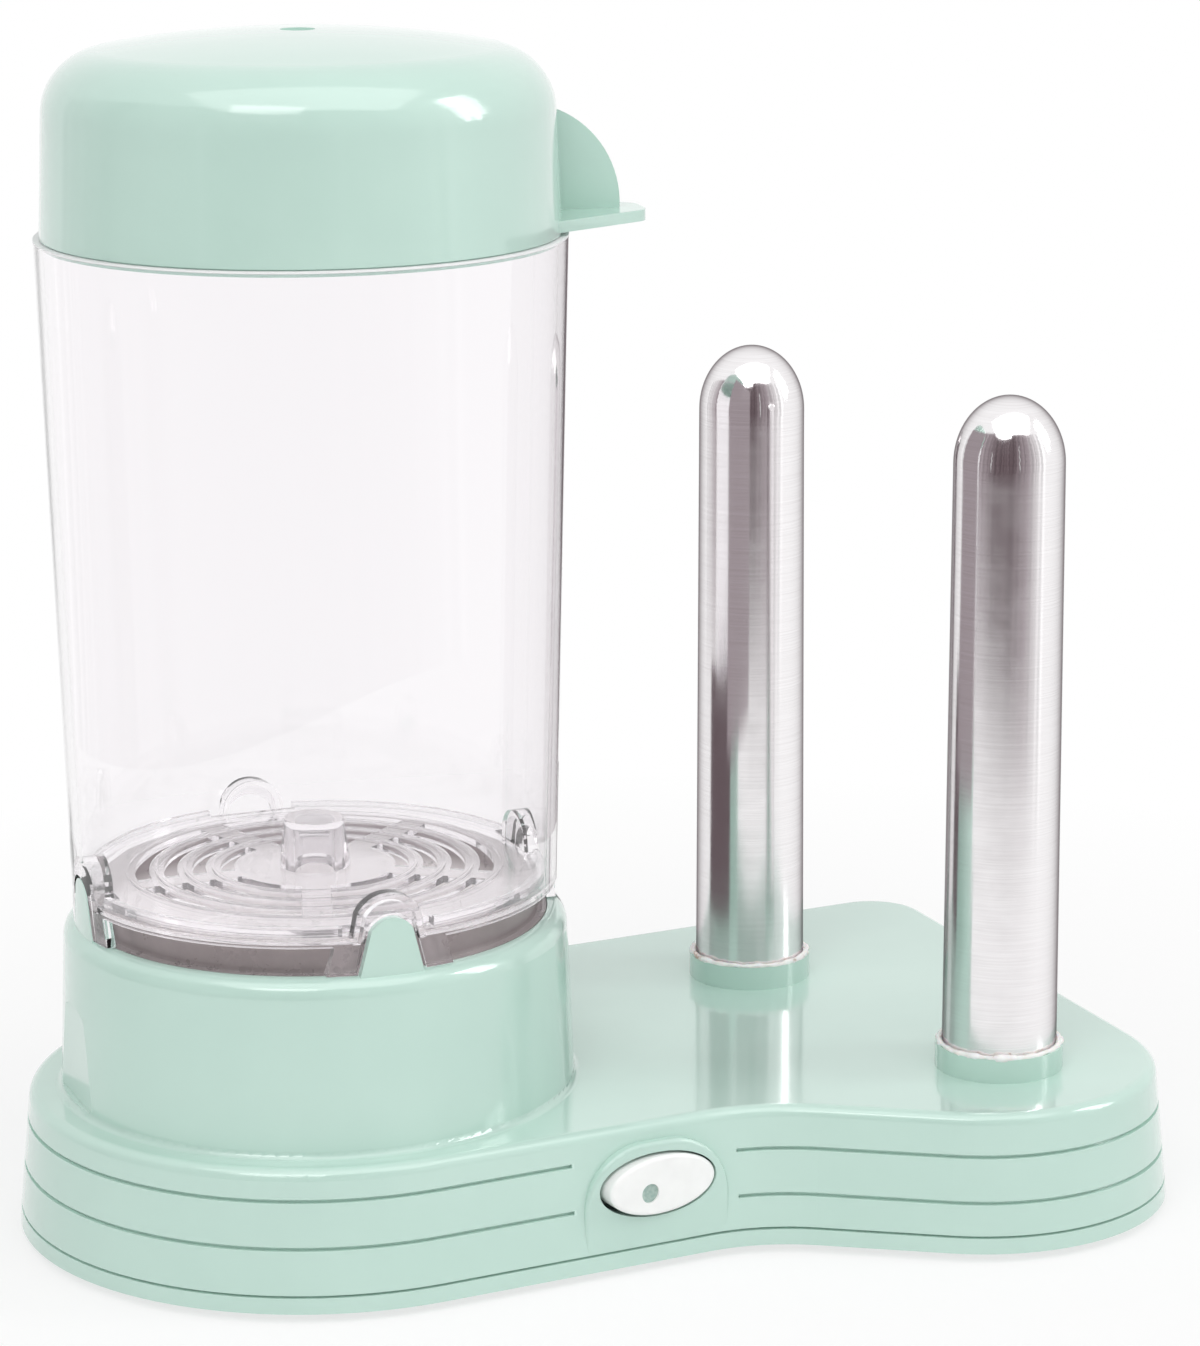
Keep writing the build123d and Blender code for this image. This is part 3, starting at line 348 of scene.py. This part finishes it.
ragged = add(
    bead_tree, "GeometryNodeSetPosition",
    {"Geometry": solid.outputs["Geometry"], "Offset": push.outputs["Vector"]},
)
coated = add(
    bead_tree, "GeometryNodeSetMaterial",
    {"Geometry": ragged.outputs["Geometry"], "Material": given.outputs["Material"]},
)
add(bead_tree, "NodeGroupOutput", {"Geometry": coated.outputs["Geometry"]})

spike_feet = []
for name in ("rear_sleeve", "front_sleeve"):
    low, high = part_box(name)
    spike_feet.append(((low[0] + high[0]) / 2, (low[1] + high[1]) / 2, high[2] - BEAD_SINK))
seed_mesh = bpy.data.meshes.new("bead_places")
seed_mesh.from_pydata(spike_feet, [], [])
seed = bpy.data.objects.new("bead_places", seed_mesh)
bpy.context.collection.objects.link(seed)
runner = seed.modifiers.new("silicone_bead", "NODES")
runner.node_group = bead_tree
for identifier, value in bead_inputs.items():
    runner[identifier] = value
grown = seed.evaluated_get(bpy.context.evaluated_depsgraph_get())
beads = bpy.data.objects.new("sealing_beads", bpy.data.meshes.new_from_object(grown))
bpy.context.collection.objects.link(beads)
bpy.data.objects.remove(seed)
for face in beads.data.polygons:
    face.use_smooth = True
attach(beads, "base")


# Rocker switch. A white oval paddle on a pin, with a small smoked pilot lens let into its left half.
# The paddle is polished ABS, a shade warm, and the lens is a grey-green dome of acrylic.
white_abs, tree, shader, mm = start_finish(
    "polished_white_abs", {"IOR": 1.54, "Coat Weight": 0.2, "Coat Roughness": 0.05},
)
blot = add(tree, "ShaderNodeTexNoise", {"Vector": mm, "Scale": 1 / 5, "Detail": 3.0})
tone = add(
    tree, "ShaderNodeValToRGB", {"Fac": blot.outputs["Fac"]}, stops=((0.3, "#f8f8f7"), (0.7, "#fdfdfc")),
)
dull = add(tree, "ShaderNodeValToRGB", {"Fac": blot.outputs["Fac"]}, stops=((0.3, 0.16), (0.7, 0.26)))
tree.links.new(tone.outputs["Color"], shader.inputs["Base Color"])
tree.links.new(dull.outputs["Color"], shader.inputs["Roughness"])
dress(white_abs, "switch_rocker", "terminal_block")

lens, tree, shader, mm = start_finish(
    "smoked_lens_acrylic", {"IOR": 1.49, "Roughness": 0.06, "Coat Weight": 0.5},
)
blot = add(tree, "ShaderNodeTexNoise", {"Vector": mm, "Scale": 1.2, "Detail": 2.0})
tone = add(
    tree, "ShaderNodeValToRGB", {"Fac": blot.outputs["Fac"]}, stops=((0.3, "#93aea5"), (0.7, "#b2c7bf")),
)
tree.links.new(tone.outputs["Color"], shader.inputs["Base Color"])
dress(lens, "pilot_lens")


# Steam container and sausage tray. Clear styrene-acrylonitrile mouldings, the tray dropped on a ledge inside.
# Face on they all but vanish. Edge on, the long path through the plastic gives a faint pink-lilac line.
# The container's rim has a band of white, a painted highlight along its edge. The tray has a slight haze,
# and lamp light passes straight through both.
CLEAR_WHITE = "#fdfcfd"
RIM_CLEAR_BELOW = 0.5
RIM_WHITE_ABOVE = 0.3
RIM_WHITE_SHARE = 0.8
TRAY_HAZE = 0.08
clear_san, tree, shader, mm = start_finish(
    "clear_moulded_san",
    {"Base Color": linear(CLEAR_WHITE), "IOR": 1.46, "Transmission Weight": 1.0, "Roughness": 0.0},
)
flow_at = add(tree, "ShaderNodeMapping", {"Vector": mm, "Scale": (1.0, 1.0, 0.06)})
flow = add(tree, "ShaderNodeTexNoise", {"Vector": flow_at.outputs["Vector"], "Scale": 1 / 14, "Detail": 1.0})
wavy = add(tree, "ShaderNodeBump", {"Height": flow.outputs["Fac"], "Distance": 0.0001})
tree.links.new(wavy.outputs["Normal"], shader.inputs["Normal"])
through = add(tree, "ShaderNodeVolumeAbsorption", {"Color": linear("#ecd4e0"), "Density": 6.0})
shade = add(tree, "ShaderNodeBsdfTransparent", {"Color": linear(CLEAR_WHITE)})
rim_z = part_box("steam_container")[1][2] * 1000
axes = add(tree, "ShaderNodeSeparateXYZ", {"Vector": mm})
at_rim = add(
    tree, "ShaderNodeMapRange",
    {"Value": axes.outputs["Z"], "From Min": rim_z - RIM_CLEAR_BELOW, "From Max": rim_z - RIM_WHITE_ABOVE,
     "To Max": RIM_WHITE_SHARE},
)
# A white diffuse band at the rim: a painted highlight line.
rim_white = add(tree, "ShaderNodeBsdfDiffuse", {"Color": linear(CLEAR_WHITE)})
edged = add(
    tree, "ShaderNodeMixShader",
    {"Fac": at_rim.outputs["Result"], "Shader": shader.outputs["BSDF"],
     "Shader_001": rim_white.outputs["BSDF"]},
)
path = add(tree, "ShaderNodeLightPath")
either = add(
    tree, "ShaderNodeMixShader",
    {"Fac": path.outputs["Is Shadow Ray"], "Shader": edged.outputs["Shader"],
     "Shader_001": shade.outputs["BSDF"]},
)
end = next(n for n in tree.nodes if n.type == "OUTPUT_MATERIAL")
tree.links.new(either.outputs["Shader"], end.inputs["Surface"])
tree.links.new(through.outputs["Volume"], end.inputs["Volume"])
dress(clear_san, "steam_container")
milky_san = clear_san.copy()
milky_san.name = "milky_moulded_san"
milky_san.node_tree.nodes[at_rim.name].inputs["To Min"].default_value = TRAY_HAZE
dress(milky_san, "sausage_tray")


# Floor, light and camera. A white table and backdrop under soft boxes, in a dim room that only gloss mirrors.
# The floor shows white to the camera, to mirrors and through clear plastic, and keeps a light contact shadow.
def staged(name, points, faces, finish):
    """A mesh that belongs to the set, not to the object."""
    mesh = bpy.data.meshes.new(name)
    mesh.from_pydata(points, [], faces)
    mesh.materials.append(finish)
    card = bpy.data.objects.new(name, mesh)
    bpy.context.collection.objects.link(card)
    return card


def only_in_gloss(card):
    """Hides a card of the set from every ray but mirrored ones."""
    card.visible_camera = False
    card.visible_diffuse = False
    card.visible_transmission = False
    card.visible_volume_scatter = False
    card.visible_shadow = False


def glowing(name, hex_colour, strength):
    """A card's own light, in its node card_light. Through clear plastic it is white, as the backdrop is."""
    made = bpy.data.materials.new(name)
    made.use_nodes = True
    tree = made.node_tree
    tree.nodes.clear()
    path = add(tree, "ShaderNodeLightPath")
    clear = worked(tree, "GREATER_THAN", path.outputs["Transmission Depth"], 0.5)
    light = add(
        tree, "ShaderNodeEmission", {"Color": linear(hex_colour), "Strength": strength}, name="card_light",
    )
    white = add(tree, "ShaderNodeEmission", {"Color": (1, 1, 1, 1), "Strength": 1.0})
    mixed = add(
        tree, "ShaderNodeMixShader",
        {"Fac": clear, "Shader": light.outputs["Emission"], "Shader_001": white.outputs["Emission"]},
    )
    add(tree, "ShaderNodeOutputMaterial", {"Surface": mixed.outputs["Shader"]})
    return made


def seen_directly(tree):
    """Socket that is 1 for rays that show the set: from the camera, a mirror or through clear plastic."""
    path = add(tree, "ShaderNodeLightPath")
    seen = worked(tree, "MAXIMUM", path.outputs["Is Camera Ray"], path.outputs["Is Glossy Ray"])
    return worked(tree, "MAXIMUM", seen, path.outputs["Is Transmission Ray"])


SHADOW_TO = 0.16
WHITE_FROM = 0.36
NEAR_SHARE = 0.72
FLOOR_REACH = 6.0
floor_white = bpy.data.materials.new("white_sweep")
floor_white.use_nodes = True
tree = floor_white.node_tree
tree.nodes.clear()
place = add(tree, "ShaderNodeTexCoord")
away = add(tree, "ShaderNodeVectorMath", {"Vector": place.outputs["Object"]}, operation="LENGTH")
whiter = add(
    tree, "ShaderNodeMapRange",
    {"Value": away.outputs["Value"], "From Min": SHADOW_TO, "From Max": WHITE_FROM, "To Min": NEAR_SHARE,
     "To Max": 1.0},
)
share = worked(tree, "MULTIPLY", seen_directly(tree), whiter.outputs["Result"])
lit = add(tree, "ShaderNodeBsdfDiffuse", {"Color": linear("#f7f7f7")})
glow = add(tree, "ShaderNodeEmission", {"Color": (1, 1, 1, 1), "Strength": 1.0})
mixed = add(
    tree, "ShaderNodeMixShader",
    {"Fac": share, "Shader": lit.outputs["BSDF"], "Shader_001": glow.outputs["Emission"]},
)
add(tree, "ShaderNodeOutputMaterial", {"Surface": mixed.outputs["Shader"]})
corners = [(-FLOOR_REACH, -FLOOR_REACH, 0), (FLOOR_REACH, -FLOOR_REACH, 0)]
corners += [(FLOOR_REACH, FLOOR_REACH, 0), (-FLOOR_REACH, FLOOR_REACH, 0)]
staged("floor", corners, [(0, 1, 2, 3)], floor_white)

SKY_FILL = 0.5
world = bpy.data.worlds.new("studio")
bpy.context.scene.world = world
world.use_nodes = True
tree = world.node_tree
tree.nodes.clear()
level = add(tree, "ShaderNodeMapRange", {"Value": seen_directly(tree), "To Min": SKY_FILL, "To Max": 1.0})
sky = add(tree, "ShaderNodeBackground", {"Color": (1, 1, 1, 1), "Strength": level.outputs["Result"]})
add(tree, "ShaderNodeOutputWorld", {"Surface": sky.outputs["Background"]})

# The dim room: the floor beyond the table's edge and a wall round the front and left, by compass angle.
# It is dark in front, grey to both sides and white at its ends, with narrow upright streaks.
ROOM_FROM = -240.0
ROOM_TO = -40.0
ROOM_STEPS = 80
ROOM_FLOOR_Z = 0.0015
TABLE_R = 0.46
WALL_R = 1.5
WALL_TOP = 1.7
WALL_DIP = 0.9
DIP_OVER = 100.0
DARKEST_AT = -128.0
ROOM_WHITE = "#ffffff"
ROOM_GREY = "#a0969a"
ROOM_DARK = "#66595d"
WALL_TONES = (
    (-240, ROOM_WHITE), (-205, ROOM_GREY), (-180, ROOM_GREY), (-145, ROOM_DARK),
    (-110, ROOM_DARK), (-80, ROOM_GREY), (-45, ROOM_WHITE),
)
SEAM_AWAY = 140
STREAKS_ROUND = 70.0
STREAK_DARK = 0.82
STREAK_PALE = 1.3
graded_wall = glowing("graded_room_wall", ROOM_DARK, 1.0)
tree = graded_wall.node_tree
place = add(tree, "ShaderNodeTexCoord")
turned = add(
    tree, "ShaderNodeMapping", {"Vector": place.outputs["Object"], "Rotation": (0, 0, radians(SEAM_AWAY))},
)
compass = add(tree, "ShaderNodeTexGradient", {"Vector": turned.outputs["Vector"]}, gradient_type="RADIAL")
stops = tuple(((angle + SEAM_AWAY) / 360 + 0.5, tone) for angle, tone in WALL_TONES)
graded = add(tree, "ShaderNodeValToRGB", {"Fac": compass.outputs["Fac"]}, stops=stops)
along = worked(tree, "MULTIPLY", compass.outputs["Fac"], STREAKS_ROUND)
streaks = add(
    tree, "ShaderNodeTexNoise", {"W": along, "Scale": 1.0, "Detail": 2.0}, noise_dimensions="1D",
)
paler = add(
    tree, "ShaderNodeMapRange",
    {"Value": streaks.outputs["Fac"], "From Min": 0.35, "From Max": 0.7, "To Min": STREAK_DARK,
     "To Max": STREAK_PALE},
)
tree.links.new(graded.outputs["Color"], tree.nodes["card_light"].inputs["Color"])
tree.links.new(paler.outputs["Result"], tree.nodes["card_light"].inputs["Strength"])
points = []
faces = []
for k in range(ROOM_STEPS + 1):
    angle = ROOM_FROM + (ROOM_TO - ROOM_FROM) * k / ROOM_STEPS
    turn = radians(angle)
    top = WALL_TOP - WALL_DIP * ((angle - DARKEST_AT) / DIP_OVER) ** 2
    points.append((TABLE_R * cos(turn), TABLE_R * sin(turn), ROOM_FLOOR_Z))
    points.append((WALL_R * cos(turn), WALL_R * sin(turn), ROOM_FLOOR_Z))
    points.append((WALL_R * cos(turn), WALL_R * sin(turn), top))
    if k:
        faces.append((3 * k - 3, 3 * k - 2, 3 * k + 1, 3 * k))
        faces.append((3 * k - 2, 3 * k - 1, 3 * k + 2, 3 * k + 1))
only_in_gloss(staged("dim_room", points, faces, graded_wall))

# Daylight in the room's wall: two narrow slits and two columns of window panes, by compass angle and width.
# The slits draw thin pale lines on the steel, and the panes make the bright spots on the domes and the gloss.
PANE_R = 1.4
PANE_ROWS = ((0.42, 0.66), (0.70, 0.94), (0.98, 1.22), (1.26, 1.48))
slit_light = glowing("daylight_slit", ROOM_WHITE, 0.8)
window_light = glowing("daylight_pane", ROOM_WHITE, 7.0)
WINDOWS = (
    ("slit_front", slit_light, -97.0, 1.2, ((0.02, 0.85),)),
    ("slit_left", slit_light, -157.0, 1.5, ((0.02, 0.55),)),
    ("window_near", window_light, -34.0, 4.5, PANE_ROWS),
    ("window_far", window_light, -28.0, 4.5, PANE_ROWS),
)
for name, light, middle, wide, rows in WINDOWS:
    points = []
    faces = []
    for low, high in rows:
        first = len(points)
        for angle, z in ((-wide / 2, low), (wide / 2, low), (wide / 2, high), (-wide / 2, high)):
            turn = radians(middle + angle)
            points.append((PANE_R * cos(turn), PANE_R * sin(turn), z))
        faces.append((first, first + 1, first + 2, first + 3))
    only_in_gloss(staged(name, points, faces, light))


# Two cards beside the drum, which the spikes mirror in their left sides: a dark flag low down and a grey
# screen above it. They are part of the set.
def side_card(name, x, across, heights, finish):
    """An upright card that faces the spikes and shows only in gloss."""
    corners = [(x, across[0], heights[0]), (x, across[1], heights[0])]
    corners += [(x, across[1], heights[1]), (x, across[0], heights[1])]
    only_in_gloss(staged(name, corners, [(0, 1, 2, 3)], finish))


flag_cloth = glowing("dim_room_wall", ROOM_DARK, 1.0)
screen_cloth = glowing("grey_screen_cloth", ROOM_GREY, 1.0)
side_card("dark_flag", 0.0012, across=(0.013, 0.064), heights=(0.034, 0.095), finish=flag_cloth)
side_card("grey_screen", 0.010, across=(-0.042, 0.022), heights=(0.078, 0.215), finish=screen_cloth)


# Lamps and camera. Three soft boxes light the set, and the camera stands where the photograph was taken from.
# Its place, turn and lens come from a fit to the photograph's round edges.
def soft_box(name, centre, aim, width, height, watts):
    """A rectangular area lamp at centre, facing aim."""
    lamp = bpy.data.lights.new(name, "AREA")
    lamp.shape = "RECTANGLE"
    lamp.size = width
    lamp.size_y = height
    lamp.energy = watts
    rig = bpy.data.objects.new(name, lamp)
    bpy.context.collection.objects.link(rig)
    rig.location = centre
    rig.rotation_euler = (Vector(aim) - Vector(centre)).to_track_quat("-Z", "Y").to_euler()


soft_box("key_box", (-1.0, -1.1, 1.35), aim=(0, 0, 0.1), width=0.9, height=0.9, watts=7.5)
soft_box("window_box", (1.25, -0.7, 0.95), aim=(0, 0, 0.15), width=0.5, height=0.8, watts=5.0)
soft_box("top_box", (-0.22, -0.60, 1.60), aim=(0, 0, 0.15), width=2.2, height=1.2, watts=10.0)

CAMERA_AT = (-0.39878, -0.80746, 0.33735)
CAMERA_TURN = (76.402, 0.226, -26.607)
PHOTO_LONG_SIDE = 1346
FOCAL_PX = 4293.9
SENSOR_MM = 36.0
AXIS_RIGHT_PX = 9.63
AXIS_UP_PX = 5.30
camera_data = bpy.data.cameras.new("camera")
camera_data.sensor_width = SENSOR_MM
camera_data.lens = FOCAL_PX * SENSOR_MM / PHOTO_LONG_SIDE
camera_data.shift_x = -AXIS_RIGHT_PX / PHOTO_LONG_SIDE
camera_data.shift_y = -AXIS_UP_PX / PHOTO_LONG_SIDE
camera = bpy.data.objects.new("camera", camera_data)
bpy.context.collection.objects.link(camera)
camera.location = CAMERA_AT
camera.rotation_euler = [radians(a) for a in CAMERA_TURN]
bpy.context.scene.camera = camera
bpy.context.scene.view_settings.view_transform = "Standard"
